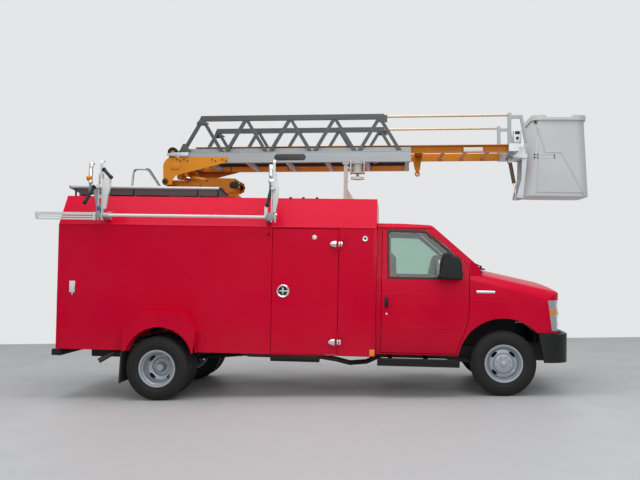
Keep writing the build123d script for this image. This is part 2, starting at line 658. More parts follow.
def bonnet_prism(gap):
    """The space of the bonnet above the fenders."""
    return slab_z([(BONNET_REAR + gap, -BONNET_HALF + gap), (4290, -BONNET_HALF + gap), (NOSE_X + 60, -720 + gap),
                   (NOSE_X + 60, 720 - gap), (4290, BONNET_HALF - gap), (BONNET_REAR + gap, BONNET_HALF - gap)],
                  LAMP_TOP + gap, 1700)


def grille_prism(gap):
    """The grille's opening in the nose."""
    return slab_x([(-560 + gap, BUMPER_TOP + 25 + gap), (560 - gap, BUMPER_TOP + 25 + gap),
                   (610 - gap, LAMP_TOP - 25 - gap), (-610 + gap, LAMP_TOP - 25 - gap)], 4500, NOSE_X + 60)


def lamp_prism(gap):
    """The headlamp's upright outline at each front corner."""
    outline = [(650 + gap, LAMP_TOP - 10 - gap), (1010, LAMP_TOP - 10 - gap), (1010, LAMP_BOTTOM + gap),
               (650 + gap, LAMP_BOTTOM + gap)]
    corner = slab_x(outline, 4400, NOSE_X + 60)
    edge = slab_y([(4488 + gap, LAMP_TOP + 50), (4800, LAMP_TOP + 50), (4800, LAMP_BOTTOM - 50),
                   (4560 + gap, LAMP_BOTTOM - 50)], 0, 1100)
    return both_sides(corner & edge)


def front_clip():
    """The fenders and the panel around lamps and grille."""
    shape = nose_form(0) - nose_form(CAB_WALL)
    shape &= block(CAB_DOOR_FRONT, NOSE_X + 10, -1100, 1100, BUMPER_TOP, 1700)
    shape -= cab_form(-SEAT)
    shape -= bonnet_prism(0)
    shape -= grille_prism(0)
    shape -= lamp_prism(0)
    shape += both_sides(block(4655, 4672, 480, 520, LAMP_TOP - 10, LAMP_TOP + DOOR_GAP / 2 - SEAT))
    liner = both_sides(rod((FRONT_X, 575, FRONT_Z), (FRONT_X, CAB_HALF, FRONT_Z), FRONT_ARCH_RADIUS + 8,
                           FRONT_ARCH_RADIUS))
    shape -= front_arch()
    liner &= nose_form(CAB_WALL - 5) & block(FRONT_X - 385, FRONT_X + 450, -CAB_HALF, CAB_HALF, BUMPER_TOP, 1200)
    shape += liner - both_sides(block(3400, 3830, BAY_HALF - SEAT, CAB_HALF, 0, 1300))
    return shape - block(COWL[0] - 60, BONNET_REAR, -CAB_HALF, CAB_HALF, COWL[1] - 45, COWL[1] + 100)


def bonnet():
    """The bonnet panel, hinged along its rear edge."""
    return (nose_form(0) - nose_form(25)) & bonnet_prism(DOOR_GAP / 2)


def grille():
    """The grille: an outer frame with three wide bars."""
    space = grille_prism(SEAT)
    plate = (nose_form(12) - nose_form(40)) & space
    for k in range(4):
        z = BUMPER_TOP + 62 + 76 * k
        plate -= block(4400, 4800, -540, -12, z, z + 48)
        plate -= block(4400, 4800, 12, 540, z, z + 48)
    return plate


def headlamps():
    """The two upright headlamp units."""
    return (nose_form(3) - nose_form(70)) & lamp_prism(SEAT)


def windscreen():
    """The windscreen in its opening."""
    return (cab_form(12) - cab_form(12 + GLASS)) & windscreen_prism(-SEAT)


def cab_door(side):
    """A cab door: an outer skin of full thickness with its window cut."""
    shape = (cab_form(0, False) - cab_form(CAB_WALL, False)) & cab_door_prism(DOOR_GAP, 600, CAB_HALF + 60)
    shape -= block(CAB_DOOR_REAR, CAB_DOOR_FRONT, 0, DOOR_FOOT_Y, 0, SILL_Z + CAB_WALL + DOOR_LIP)
    shape -= door_window_prism(0)
    # Inside its outer lip the rear edge stands back, so that it clears the pillar as the door swings.
    shape -= cab_form(DOOR_LIP, False) & block(CAB_DOOR_REAR, CAB_DOOR_REAR + DOOR_GAP + 16, 600, CAB_HALF + 60, 0, 3000)
    return shape if side > 0 else mirror(shape, Plane.XZ)


def door_glass(side):
    """The window in a cab door."""
    shape = (cab_form(16) - cab_form(16 + GLASS)) & door_window_prism(-SEAT) & block(2500, 3700, 600, 1100, 1400, 2100)
    return shape if side > 0 else mirror(shape, Plane.XZ)


MIRROR_OUT = 1275
MIRROR_DEPTH = 150


def mirror_head(side):
    """A door mirror: its rounded case on two arms."""
    outline = path((3262, 1478), (3455, 1468), ((3500, 1480), (3508, 1520)), (3498, 1650),
                   ((3470, 1715), (3400, 1752)), ((3322, 1782), (3278, 1735)), (3240, 1540),
                   ((3238, 1500), (3262, 1478)))
    case = Pos(0, MIRROR_OUT, 0) * extrude(Plane.XZ * outline, amount=MIRROR_DEPTH)
    case = fillet(case.faces().sort_by(Axis.Y)[-1].edges(), 30)
    case += rod((3420, 1130, 1545), (3545, 940, 1545), 14) + rod((3420, 1130, 1713), (3478, 910, 1713), 12)
    case -= cab_form(-SEAT)
    return case if side > 0 else mirror(case, Plane.XZ)


def front_bumper():
    """The deep front bumper, wrapped round the corners, on its two brackets."""
    outer = path((4400, -1010), ((4640, -985), (4752, -800)), ((4776, -400), (4784, 0)), ((4776, 400), (4752, 800)),
                 ((4640, 985), (4400, 1010)), (4400, 960), ((4610, 940), (4700, 780)), ((4722, 400), (4730, 0)),
                 ((4722, -400), (4700, -780)), ((4610, -940), (4400, -960)))
    shape = Pos(0, 0, 540) * extrude(outer, amount=BUMPER_TOP - 6 - 540)
    shape -= slab_y([(4300, 500), (4300, 880), (4392, 880), (4462, 545), (4800, 548), (4800, 500)], -1100, 1100)
    shape -= block(4700, 4800, -420, 420, 600, 690)
    for side in (1, -1):
        y0, y1 = sorted((side * (FRAME_HALF - 50), side * FRAME_HALF))
        shape += block(FRAME_FRONT + SEAT, 4740, y0, y1, FRAME_TOP - 120, FRAME_TOP - 20)
    return shape


def running_boards():
    """The step under each cab door, carried from the frame."""
    step = slab_x([(-1090, 470), (-1100, 545), (-945, 545), (-945, 470)], 2560, 3500)
    for x in (2680, 3100):
        step += block(x, x + 50, -946, -FRAME_HALF - SEAT, 515, 540)
    return both_sides(step)


def seats():
    """Two high-backed seats on the cab floor."""
    back = [(2700, 1050), (2846, 1050), (2770, 1730), (2700, 1790), (2650, 1770), (2640, 1640)]
    cushion = [(2690, 985), (3210, 985), (3240, 1040), (3210, 1120), (2840, 1100), (2690, 1125)]
    seat = slab_y(back, 300, 790) + slab_y(cushion, 300, 790)
    seat += block(2760, 3150, 330, 760, CAB_FLOOR + SEAT, 986)
    return both_sides(seat)


STEER_CENTRE = (3290, 450, 1370)
STEER_RADIUS = 190


def dashboard():
    """The dashboard across the cab, the engine cover, and the steering wheel on its column."""
    board = slab_y([(3535, 1100), (3535, 1540), (3440, 1560), (3400, 1500), (3420, 1180)], -860, 860)
    cover = slab_y([(3280, CAB_FLOOR + SEAT), (3535, CAB_FLOOR + SEAT), (3535, 1110), (3390, 1110), (3300, 1030)],
                   -240, 240)
    tilt = Vector(sin(radians(62)), 0, -cos(radians(62)))
    centre = Vector(*STEER_CENTRE)
    wheel = Plane(origin=centre, z_dir=tilt) * Torus(STEER_RADIUS, 14)
    hub_end = centre + tilt * 150
    wheel += rod(tuple(centre), tuple(hub_end), 45)
    for angle in (0, 120, 240):
        spoke = Plane(origin=centre, z_dir=tilt) * Rot(0, 0, angle) * Pos(STEER_RADIUS / 2, 0, 12) * Box(
            STEER_RADIUS, 34, 16)
        wheel += spoke
    return board + cover + wheel


def rear_bumper():
    """The step bumper under the rear wall, on the frame's ends."""
    shape = block(BOX_REAR - 55, BOX_REAR + 60, -BOX_HALF + 10, BOX_HALF - 10, 480, BOX_BOTTOM - 6)
    shape -= block(BOX_REAR - 60, BOX_REAR + 40, -BOX_HALF + 60, BOX_HALF - 60, 470, 545)
    for side in (1, -1):
        y0, y1 = sorted((side * (FRAME_HALF - 50), side * FRAME_HALF))
        shape += block(BOX_REAR + 20, FRAME_REAR - SEAT, y0, y1, 500, BOX_BOTTOM - 6)
    return shape


def body_lamps():
    """Round side markers, the boxed rear side lamps and the tail lamps."""
    y = -BOX_HALF - SEAT
    side_lamps = block(-1110, -1070, y - 26, y, 1250, 1358)
    side_lamps += disc_y(2396, 1934, 22, y - 14, y)
    side_lamps += block(2470, 2524, y - 6, y, 575, 640)
    tail = block(BOX_REAR - 24, BOX_REAR - SEAT, -975, -885, 1060, 1250)
    return both_sides(side_lamps + tail)


def mud_flaps():
    """The rubber flaps behind the rear wheels."""
    top = BOX_BOTTOM - SEAT
    flap = slab_y([(-424, top), (-436, top), (-452, 190), (-440, 190)], -1170, -650)
    return both_sides(flap)


def roof_platform():
    """The walkway on the roof: a rear deck, a strip on each side of the turret, legs and the grab rail."""
    inner = PLATFORM_HALF - PLATFORM_STRIP
    deck_end = -330
    side = slab_y([(PLATFORM_REAR + 160, PLATFORM_UNDER), (PLATFORM_FRONT - 60, PLATFORM_UNDER),
                   (PLATFORM_FRONT + 100, PLATFORM_UNDER), (PLATFORM_FRONT, PLATFORM_TOP),
                   (PLATFORM_REAR, PLATFORM_TOP), (PLATFORM_REAR, PLATFORM_TOP - 32)],
                  -PLATFORM_HALF, -PLATFORM_HALF + 6)
    shape = side + block(PLATFORM_REAR, PLATFORM_FRONT, -PLATFORM_HALF, -inner, PLATFORM_TOP - 30, PLATFORM_TOP)
    shape += rod((PLATFORM_REAR, -PLATFORM_HALF, PLATFORM_TOP - 18), (PLATFORM_FRONT, -PLATFORM_HALF, PLATFORM_TOP - 18), 18)
    for x in (-1160, -480, 320, 570):
        shape += block(x, x + 40, -PLATFORM_HALF, -inner, ROOF_Z + SEAT, PLATFORM_TOP - 28)
    shape = both_sides(shape)
    shape += block(PLATFORM_REAR, deck_end, -inner - 1, inner + 1, PLATFORM_TOP - 30, PLATFORM_TOP)
    y = -PLATFORM_HALF + 60
    top = PLATFORM_TOP + 219
    posts = [(-514, PLATFORM_TOP - 15), (-493, top), (-302, top), (-146, PLATFORM_TOP - 15)]
    rail = FilletPolyline(*[(x, y, z) for x, z in posts], radius=60)
    shape += sweep(Plane(origin=(posts[0][0], y, posts[0][1]), z_dir=rail % 0) * Circle(13), rail)
    return shape


def rack_mounts():
    """The two fixed bearings of the ladder rack, bolted to the slanted cove."""
    shape = Part()
    for x in (RACK_REAR_X + 60, RACK_FRONT_X - 40):
        bearing = disc_x(x - 30, x + 30, RACK_SHAFT_RADIUS + 14)
        foot = slab_x([(RACK_Y + 8, RACK_Z + 24), (RACK_Y + 8, RACK_Z - 24), (-958, 2100), (-874, 2218)], x - 26, x + 26)
        shape += bearing + foot
        shape -= disc_x(x - 60, x + 60, RACK_SHAFT_RADIUS + SEAT)
    shape -= slab_x(box_outline(-SEAT), BOX_REAR, BOX_FRONT)
    return shape


def disc_x(x0, x1, radius):
    """A disc or bar along the rack's shaft line."""
    return rod((x0, RACK_Y, RACK_Z), (x1, RACK_Y, RACK_Z), radius)


def rack_arm(x, top):
    """One lifting arm of the ladder rack: two side plates, the hook at its top and a roller bar."""
    shape = block(x - 26, x - 18, RACK_Y - 30, RACK_Y + 30, RACK_Z - 60, top - 150)
    shape += block(x + 18, x + 26, RACK_Y - 30, RACK_Y + 30, RACK_Z - 60, top - 150)
    shape += block(x - 26, x + 26, RACK_Y - 12, RACK_Y + 12, RACK_Z + 200, RACK_Z + 240)
    shape += block(x - 26, x + 26, RACK_Y - 12, RACK_Y + 12, top - 190, top - 150)
    stem = slab_x([(RACK_Y - 12, top - 160), (RACK_Y + 12, top - 160), (RACK_Y + 12, top - 24), (RACK_Y + 40, top),
                   (RACK_Y + 120, top), (RACK_Y + 120, top + 12), (RACK_Y + 30, top + 12), (RACK_Y - 12, top - 24)],
                  x - 14, x + 14)
    shape += stem
    shape += rod((x, RACK_Y - 130, RACK_Z + 330), (x, RACK_Y + 20, RACK_Z + 330), 20)
    return shape


def ladder_rack():
    """The turning half of the rack: the long shaft, its crank handle and the two lifting arms."""
    shape = disc_x(RACK_REAR_X - 80, RACK_FRONT_X + 60, RACK_SHAFT_RADIUS)
    shape += rack_arm(RACK_REAR_X, 2800) + rack_arm(RACK_FRONT_X + 30, 2822)
    end = RACK_REAR_X - 60
    for dz in (-22, 22):
        shape += block(RACK_SPAN_REAR, end, RACK_Y - 8, RACK_Y + 8, RACK_Z + dz - 8, RACK_Z + dz + 8)
    shape += block(RACK_SPAN_REAR, RACK_SPAN_REAR + 20, RACK_Y - 8, RACK_Y + 8, RACK_Z - 22, RACK_Z + 22)
    shape += block(end - 20, end + 10, RACK_Y - 14, RACK_Y + 14, RACK_Z - 34, RACK_Z + 34)
    return shape


HEAD_HALF = 205
HEAD_PLATE = 25
PIVOT_PIN = 28
PIVOT_BOSS = 50
LUG = (60, 104)
LUG_GAP = 46
BARREL_RADIUS = 46
ROD_RADIUS = 24
CYLINDER_PIN_RADIUS = 22
REST_X = 2133
REST_Y = -TRUSS_Y - 15
REST_GAP = 5


def pedestal():
    """The column from the body floor through the roof, with the fixed half of the slewing ring."""
    half = COLUMN / 2
    column = block(TURRET_X - half, TURRET_X + half, -half, half, FLOOR_TOP + SEAT, TURRET_BASE_Z - 40)
    ring = rod((TURRET_X, 0, ROOF_Z + SEAT), (TURRET_X, 0, TURRET_BASE_Z - 30), 200)
    flange = rod((TURRET_X, 0, TURRET_BASE_Z - 30), (TURRET_X, 0, TURRET_BASE_Z - SEAT), TURRET_BASE_RADIUS)
    return column + ring + flange


def turret_head():
    """The slewing head: base disc, two cheek plates, the lift pivot's cross tube and the cylinder's pin."""
    px, pz = LIFT_PIVOT
    cx, cz = CYLINDER_PIN
    base = rod((TURRET_X, 0, TURRET_BASE_Z), (TURRET_X, 0, TURRET_BASE_Z + 24), TURRET_BASE_RADIUS)
    cheek = path((px - 20, pz - 45), (300, TURRET_BASE_Z + 60), (380, TURRET_BASE_Z + 10), (cx - 74, TURRET_BASE_Z + 10),
                 (cx, cz - 84), ((cx + 84, cz), (cx, cz + 84)), (330, cz + 92), (290, pz + 36), (px, pz + 48),
                 ((px - 48, pz), (px - 20, pz - 45)))
    plate = Pos(0, -HEAD_HALF + HEAD_PLATE, 0) * extrude(Plane.XZ * cheek, amount=HEAD_PLATE)
    shape = base + both_sides(plate)
    shape += disc_y(px, pz, PIVOT_BOSS, -BEAM_HALF + 12, BEAM_HALF - 12)
    shape += block(330, 620, -HEAD_HALF + 5, HEAD_HALF - 5, TURRET_BASE_Z + 20, TURRET_BASE_Z + 44)
    shape += disc_y(cx, cz, CYLINDER_PIN_RADIUS, -HEAD_HALF, HEAD_HALF)
    for side in (1, -1):
        end = side * (BEAM_HALF - 12)
        shape -= disc_y(px, pz, PIVOT_PIN + PIN_PLAY, *sorted((end + side, end - side * 90)))
    return shape


def lug_point(lift):
    """The (x, z) of the boom's cylinder lug at a lift angle."""
    reach = hypot(*LUG)
    angle = atan2(LUG[1], LUG[0]) + radians(lift)
    return (LIFT_PIVOT[0] + reach * cos(angle), LIFT_PIVOT[1] + reach * sin(angle))


def cylinder_frame(start, end):
    """A turned place whose +Z runs from one (x, z) point to another, in the vehicle's middle plane."""
    line = Vector(end[0] - start[0], 0, end[1] - start[1])
    return Plane(origin=(start[0], 0, start[1]), z_dir=line, x_dir=(0, 1, 0))


def lift_barrel():
    """The lift cylinder's barrel, from its pin in the head towards the lug at the boom's tail."""
    place = cylinder_frame(CYLINDER_PIN, lug_point(0))
    length = hypot(CYLINDER_PIN[0] - lug_point(0)[0], CYLINDER_PIN[1] - lug_point(0)[1])
    gland = length - 150
    shape = Pos(0, 0, 60) * Cylinder(BARREL_RADIUS, gland - 60, align=(Align.CENTER, Align.CENTER, Align.MIN))
    shape += Pos(0, 0, 30) * Box(80, 60, 80)
    shape += Rot(0, 90, 0) * Cylinder(42, 80)
    shape -= Rot(0, 90, 0) * Cylinder(CYLINDER_PIN_RADIUS + PIN_PLAY, 100)
    shape -= Pos(0, 0, 130) * Cylinder(ROD_RADIUS + SEAT, gland, align=(Align.CENTER, Align.CENTER, Align.MIN))
    return place * shape


def lift_rod():
    """The lift cylinder's rod with its eye between the boom's lug plates."""
    place = cylinder_frame(CYLINDER_PIN, lug_point(0))
    length = hypot(CYLINDER_PIN[0] - lug_point(0)[0], CYLINDER_PIN[1] - lug_point(0)[1])
    shape = Pos(0, 0, 160) * Cylinder(ROD_RADIUS, length - 160 - 30, align=(Align.CENTER, Align.CENTER, Align.MIN))
    shape += Pos(0, 0, length) * Rot(0, 90, 0) * Cylinder(36, LUG_GAP)
    return place * shape


def outer_beams():
    """The outer boom's two side beams, joined below by cross bars."""
    y1 = BEAM_HALF
    y0 = BEAM_HALF - BEAM_DEPTH
    profile = [(y0, BEAM_TOP), (y0 + 10, BEAM_TOP), (y0 + 10, BEAM_LEDGE), (y1, BEAM_LEDGE), (y1, BEAM_BOTTOM),
               (y0, BEAM_BOTTOM), (y0, BEAM_BOTTOM + 8), (y1 - 8, BEAM_BOTTOM + 8), (y1 - 8, BEAM_LEDGE - 8),
               (y0, BEAM_LEDGE - 8)]
    shape = both_sides(slab_x(profile, BEAM_REAR, BEAM_FRONT))
    for k in range(6):
        x = BEAM_REAR + 330 + k * TRUSS_PITCH * 0.9
        shape += block(x, x + 50, -y0 - 1, y0 + 1, BEAM_BOTTOM, BEAM_BOTTOM + 40)
    shape += block(BEAM_REAR, BEAM_REAR + 90, -y0 - 1, y0 + 1, BEAM_BOTTOM, BEAM_BOTTOM + 70)
    low = FLY_TOP - FLY_HEIGHT
    for x in (BEAM_FRONT - 480, BEAM_FRONT - PAD_LENGTH):
        pad = block(x, x + PAD_LENGTH, FLY_HALF + SEAT, y0 + 1, low - 13, BEAM_TOP - 12)
        pad += block(x, x + PAD_LENGTH, FLY_HALF - 35, FLY_HALF + 1, low - 23, low - SEAT)
        shape += both_sides(pad)
    return on_boom(shape)


def trusses():
    """The two ladder-like side trusses: hollow top chords on zigzag diagonals."""
    y0, y1 = TRUSS_Y - 31, TRUSS_Y + 31
    top_end = TRUSS_FIRST + 4 * TRUSS_PITCH
    low = TRUSS_TOP - CHORD
    shape = block(TRUSS_FIRST - 44, top_end + 55, y0, y1, low, TRUSS_TOP)
    shape -= block(TRUSS_FIRST - 50, top_end + 60, y0 + CHORD_WALL, y1 - CHORD_WALL, low + CHORD_WALL,
                   TRUSS_TOP - CHORD_WALL)
    shape -= slab_y([(TRUSS_FIRST - 60, TRUSS_TOP + 5), (TRUSS_FIRST - 10, TRUSS_TOP + 5), (TRUSS_FIRST - 44, low - 5),
                     (TRUSS_FIRST - 60, low - 5)], y0 - 5, y1 + 5)
    d0, d1 = TRUSS_Y - 25, TRUSS_Y + 25
    foot = BEAM_LEDGE + 6
    for k in range(5):
        apex = (TRUSS_FIRST + k * TRUSS_PITCH, low + 4)
        for way in (-1, 1):
            toe = (apex[0] + way * (TRUSS_PITCH / 2 - 28), foot)
            shape += bar(toe, (apex[0] + way * 12, apex[1]), 38, d0, d1)
    shape += slab_y([(top_end - 42, low - 44), (top_end + 95, low - 44), (top_end + 95, TRUSS_TOP - 14),
                     (top_end + 50, TRUSS_TOP - 14), (top_end + 50, low + 2), (top_end - 42, low + 2)], y1 - 10, y1 - 2)
    shape += slab_y([(TRUSS_FIRST - 60, low - 60), (TRUSS_FIRST + 50, low - 60), (TRUSS_FIRST + 30, low + 2),
                     (TRUSS_FIRST - 40, low + 2)], y1 - 10, y1 - 2)
    shape -= block(0, 4000, 0, BEAM_HALF + 50, 0, BEAM_LEDGE + SEAT)
    return on_boom(both_sides(shape))


SHEAVE = (92, 360)
SHEAVE_RADIUS = 58


def boom_bracket():
    """The tail bracket: a plate on each beam, the pivot pins and the cylinder's lug plates."""
    outline = path((-28, -45), (80, -45), (90, 20), (131, 72), (782, 234), (782, 297), (60, 302),
                   ((0, 262), (-28, 145)))
    y0 = BEAM_HALF + SEAT
    plate = Pos(0, -y0, 0) * extrude(Plane.XZ * outline, amount=12)
    pin = disc_y(0, 0, PIVOT_PIN, -y0 - 20, -y0 + 90)
    boss = disc_y(0, 0, PIVOT_PIN + 8, -y0 - 16, -y0)
    # A rope sheave turns inside an ear above each plate.
    ear = slab_y([(35, 290), (150, 290), (115, 385), (70, 385)], y0, y0 + 12)
    sheave = disc_y(*SHEAVE, SHEAVE_RADIUS, y0 - 34, y0 - 4) + disc_y(*SHEAVE, 14, y0 - 40, y0 + 20)
    shape = both_sides(plate + pin + boss + ear + sheave)
    half = LUG_GAP / 2 + 5
    lug = path((LUG[0] - 30, LUG[1] - 30), (LUG[0] + 30, LUG[1] - 30), (LUG[0] + 60, BEAM_BOTTOM + 20),
               (LUG[0] - 10, BEAM_BOTTOM + 40), (LUG[0] - 40, LUG[1]))
    shape += both_sides(Pos(0, -half, 0) * extrude(Plane.XZ * lug, amount=18))
    shape += block(30, 130, -y0 - 1, y0 + 1, BEAM_BOTTOM - 20, BEAM_BOTTOM + 60)
    return on_boom(shape)


def fly_beams():
    """The telescoping inner beams with their rungs, the hanging bracket and the end block."""
    y1, y0 = FLY_HALF, FLY_HALF - FLY_WIDTH
    low = FLY_TOP - FLY_HEIGHT
    profile = [(y0, low), (y1, low), (y1, low + 8), (y0 + 8, low + 8), (y0 + 8, FLY_TOP - 8), (y1, FLY_TOP - 8),
               (y1, FLY_TOP), (y0, FLY_TOP)]
    shape = both_sides(slab_x(profile, FLY_REAR, FLY_FRONT))
    for k in range(14):
        x = FLY_REAR + 60 + k * 275
        shape += block(x, x + 36, -y0 - 1, y0 + 1, low + 8, low + 40)
    eye_x = BEAM_FRONT + 95
    hang = slab_y([(eye_x - 40, low + 8), (eye_x + 60, low + 8), (eye_x + 20, 148), (eye_x - 20, 148)], -9, 9)
    hang += disc_y(eye_x, 128, 34, -9, 9)
    hang -= disc_y(eye_x, 128, 17, -10, 10)
    shape += hang + block(eye_x - 40, eye_x + 60, -y0 - 1, y0 + 1, low + 8, low + 50)
    return on_boom(shape)


def fly_rails():
    """The handrail rods that slide in the truss chords, with their end posts."""
    z = TRUSS_TOP - CHORD / 2
    shape = rod((TRUSS_FIRST + 12, TRUSS_Y, z), (FLY_FRONT, TRUSS_Y, z), HANDRAIL_RADIUS)
    shape += block(FLY_FRONT - 10, FLY_FRONT + 32, TRUSS_Y - 22, TRUSS_Y + 22, FLY_TOP + SEAT, z + 24)
    shape += block(FLY_FRONT + 30, FLY_FRONT + 160, TRUSS_Y - 22, TRUSS_Y + 22, z - 40, z - 5)
    shape += bar((FLY_FRONT + 150, z - 10), (FLY_FRONT + 210, FLY_TOP + 6), 34, TRUSS_Y - 22, TRUSS_Y + 22)
    shape -= block(FLY_FRONT - 20, FLY_FRONT + 300, 0, 600, 0, FLY_TOP + SEAT)
    return on_boom(both_sides(shape))


def fly_tip():
    """The boom's tip: an end block, cheek plates for the bucket's pivot and the control box."""
    low = FLY_TOP - FLY_HEIGHT
    shape = block(FLY_FRONT + SEAT, FLY_FRONT + 120, -BEAM_HALF, BEAM_HALF, low, FLY_TOP)
    u, v = TIP_PIVOT
    nose = TIP_NOSE
    cheek = path((FLY_FRONT + 60, low - 20), (u, v - nose), ((u + nose, v), (u + nose * 0.6, v + nose * 0.8)),
                 (u - 10, FLY_TOP), (FLY_FRONT + 60, FLY_TOP))
    shape += both_sides(Pos(0, -ARM_HALF - 10, 0) * extrude(Plane.XZ * cheek, amount=20))
    shape += disc_y(u, v, TIP_PIN_RADIUS, -ARM_HALF - 30, ARM_HALF + 30)
    return on_boom(shape)


TIP_PIVOT = (4472, 318)
TIP_NOSE = 28
TIP_PIN_RADIUS = 18
LEVEL_TOP = (4319, 286)
LEVEL_FOOT = (4283, BUCKET_BOTTOM - 3)
LEVEL_GLAND = 290
LEVEL_FLOOR = 38
LEVEL_STROKE = 158
LEVEL_BARREL_RADIUS = 24
LEVEL_ROD_RADIUS = 12
LEVEL_EYE = 50
ARM_PLATE = 15
ARM_HALF = 195


def level_barrel():
    """The levelling cylinder's barrel, hung from the boom's tip."""
    start = boom_point(*LEVEL_TOP)
    place = cylinder_frame(start, LEVEL_FOOT)
    gland = LEVEL_GLAND
    shape = Pos(0, 0, 20) * Cylinder(LEVEL_BARREL_RADIUS, gland - 20, align=(Align.CENTER, Align.CENTER, Align.MIN))
    shape += Rot(0, 90, 0) * Cylinder(26, LEVEL_EYE)
    shape -= Rot(0, 90, 0) * Cylinder(10 + PIN_PLAY, LEVEL_EYE + 10)
    shape -= Pos(0, 0, LEVEL_FLOOR) * Cylinder(LEVEL_ROD_RADIUS + SEAT, gland, align=(Align.CENTER, Align.CENTER, Align.MIN))
    return place * shape


def level_rod():
    """The levelling cylinder's rod with the eye at the bucket arm's foot."""
    start = boom_point(*LEVEL_TOP)
    length = hypot(start[0] - LEVEL_FOOT[0], start[1] - LEVEL_FOOT[1])
    place = cylinder_frame(start, LEVEL_FOOT)
    inner = LEVEL_FLOOR + LEVEL_STROKE + RUN
    shape = Pos(0, 0, inner) * Cylinder(LEVEL_ROD_RADIUS, length - inner - 10,
                                        align=(Align.CENTER, Align.CENTER, Align.MIN))
    shape += Pos(0, 0, length) * Rot(0, 90, 0) * Cylinder(22, LEVEL_EYE)
    return place * shape


def level_lugs():
    """The ears on the boom's tip that carry the levelling cylinder."""
    u, v = LEVEL_TOP
    low = FLY_TOP - FLY_HEIGHT
    half = LEVEL_EYE / 2 + 5
    ear = slab_y([(u - 32, low + 4), (u + 32, low + 4), (u + 26, v - 26), (u - 26, v - 26)], half, half + 12)
    return on_boom(both_sides(ear) + disc_y(u, v, 10, -half - 12, half + 12))


def bucket_arm():
    """The V-shaped arm behind the bucket, from the tip pivot down to the cylinder's foot."""
    bx, bz = boom_point(*TIP_PIVOT)
    fx, fz = LEVEL_FOOT
    face_high, face_low = bucket_back(bz + 40) - SEAT, bucket_back(BUCKET_BOTTOM) - SEAT
    back = [(bx - 28, bz + 20), (bx + 4, bz + 40), (face_high, bz + 40), (face_low, fz + 14), (face_low, fz - 16),
            (fx - 24, fz - 16), (fx - 24, fz + 22), (4310, fz + 220)]
    plate = slab_y(back, ARM_HALF - ARM_PLATE, ARM_HALF)
    plate -= disc_y(bx, bz, TIP_PIN_RADIUS + PIN_PLAY, ARM_HALF - ARM_PLATE - 5, ARM_HALF + 5)
    shape = both_sides(plate)
    foot_x = BUCKET_REAR_LOW - SEAT
    shape += block(foot_x - 18, foot_x, -ARM_HALF + 1, ARM_HALF - 1, fz - 16, fz + 4)
    half = LEVEL_EYE / 2 + 5
    fork = slab_y([(fx - 24, fz - 16), (foot_x, fz - 16), (foot_x, fz + 24), (fx - 24, fz + 24)], half, half + 12)
    return shape + both_sides(fork)


BUCKET_REAR_LOW = 4340
BUCKET_REAR_HIGH = 4428
BUCKET_CORNER = 105


def bucket_back(z):
    """The x of the bucket's rear face at a height."""
    return BUCKET_REAR_LOW + (BUCKET_REAR_HIGH - BUCKET_REAR_LOW) * (z - BUCKET_BOTTOM) / (BUCKET_TOP - BUCKET_BOTTOM)


def bucket_side(inset):
    """The bucket's side outline, moved in by inset, open above."""
    return [(BUCKET_REAR_HIGH + inset, BUCKET_TOP), (5050 - inset, BUCKET_TOP), (5112 - inset, BUCKET_BOTTOM + inset),
            (BUCKET_REAR_LOW + inset, BUCKET_BOTTOM + inset)]


def bucket():
    """The bucket: a deep tub with large upright corners, a rolled rim and a raised side panel."""
    half = BUCKET_WIDTH / 2
    tub = slab_y(bucket_side(0), -half, half)
    upright = tub.edges().filter_by(Axis.Y, reverse=True).filter_by(lambda e: abs(e.tangent_at(0.5).Z) > 0.9)
    tub = fillet(upright, BUCKET_CORNER)
    inner = slab_y(bucket_side(BUCKET_WALL), -half + BUCKET_WALL, half - BUCKET_WALL)
    upright = inner.edges().filter_by(Axis.Y, reverse=True).filter_by(lambda e: abs(e.tangent_at(0.5).Z) > 0.9)
    inner = fillet(upright, BUCKET_CORNER - BUCKET_WALL)
    rim_rear = BUCKET_REAR_HIGH - 20
    rim_band = block(rim_rear, 5074, -half - 26, half + 26, BUCKET_TOP - 60, BUCKET_TOP)
    rim_band = fillet(rim_band.edges().filter_by(Axis.Z), BUCKET_CORNER + 12)
    rim_hole = block(rim_rear + 24, 5046, -half + 2, half - 2, BUCKET_TOP - 70, BUCKET_TOP + 10)
    rim_hole = fillet(rim_hole.edges().filter_by(Axis.Z), BUCKET_CORNER - 8)
    panel = slab_y([(4500, 3362), (4571, 3054), (4764, 3049), (5030, 2560), (4480, 2560)], -half - 8, half + 8)
    shape = tub + panel + (rim_band - rim_hole) - inner
    dip = slab_y([(4566, BUCKET_TOP + 10), (4566, BUCKET_TOP), (4591, BUCKET_TOP - 28), (4868, BUCKET_TOP - 28),
                  (4904, BUCKET_TOP), (4904, BUCKET_TOP + 10)], -half - 60, half + 60)
    shape -= dip
    return shape


def boom_rest():
    """The post on the roof with the padded saddle under the stowed boom, and its foot gusset."""
    _, under = boom_point(REST_X - LIFT_PIVOT[0], BEAM_BOTTOM)
    top = under - REST_GAP
    post = block(REST_X - 24, REST_X + 24, REST_Y - 24, REST_Y + 24, ROOF_Z + SEAT, top - 20)
    saddle = block(REST_X - 40, REST_X + 40, REST_Y - 40, REST_Y + 60, top - 20, top)
    foot = block(REST_X - 90, REST_X + 110, REST_Y - 60, REST_Y + 60, ROOF_Z + SEAT, ROOF_Z + 14)
    gusset = slab_y([(REST_X + 20, ROOF_Z + 10), (REST_X + 105, ROOF_Z + 10), (REST_X + 20, ROOF_Z + 150)],
                    REST_Y - 6, REST_Y + 6)
    return post + saddle + foot + gusset


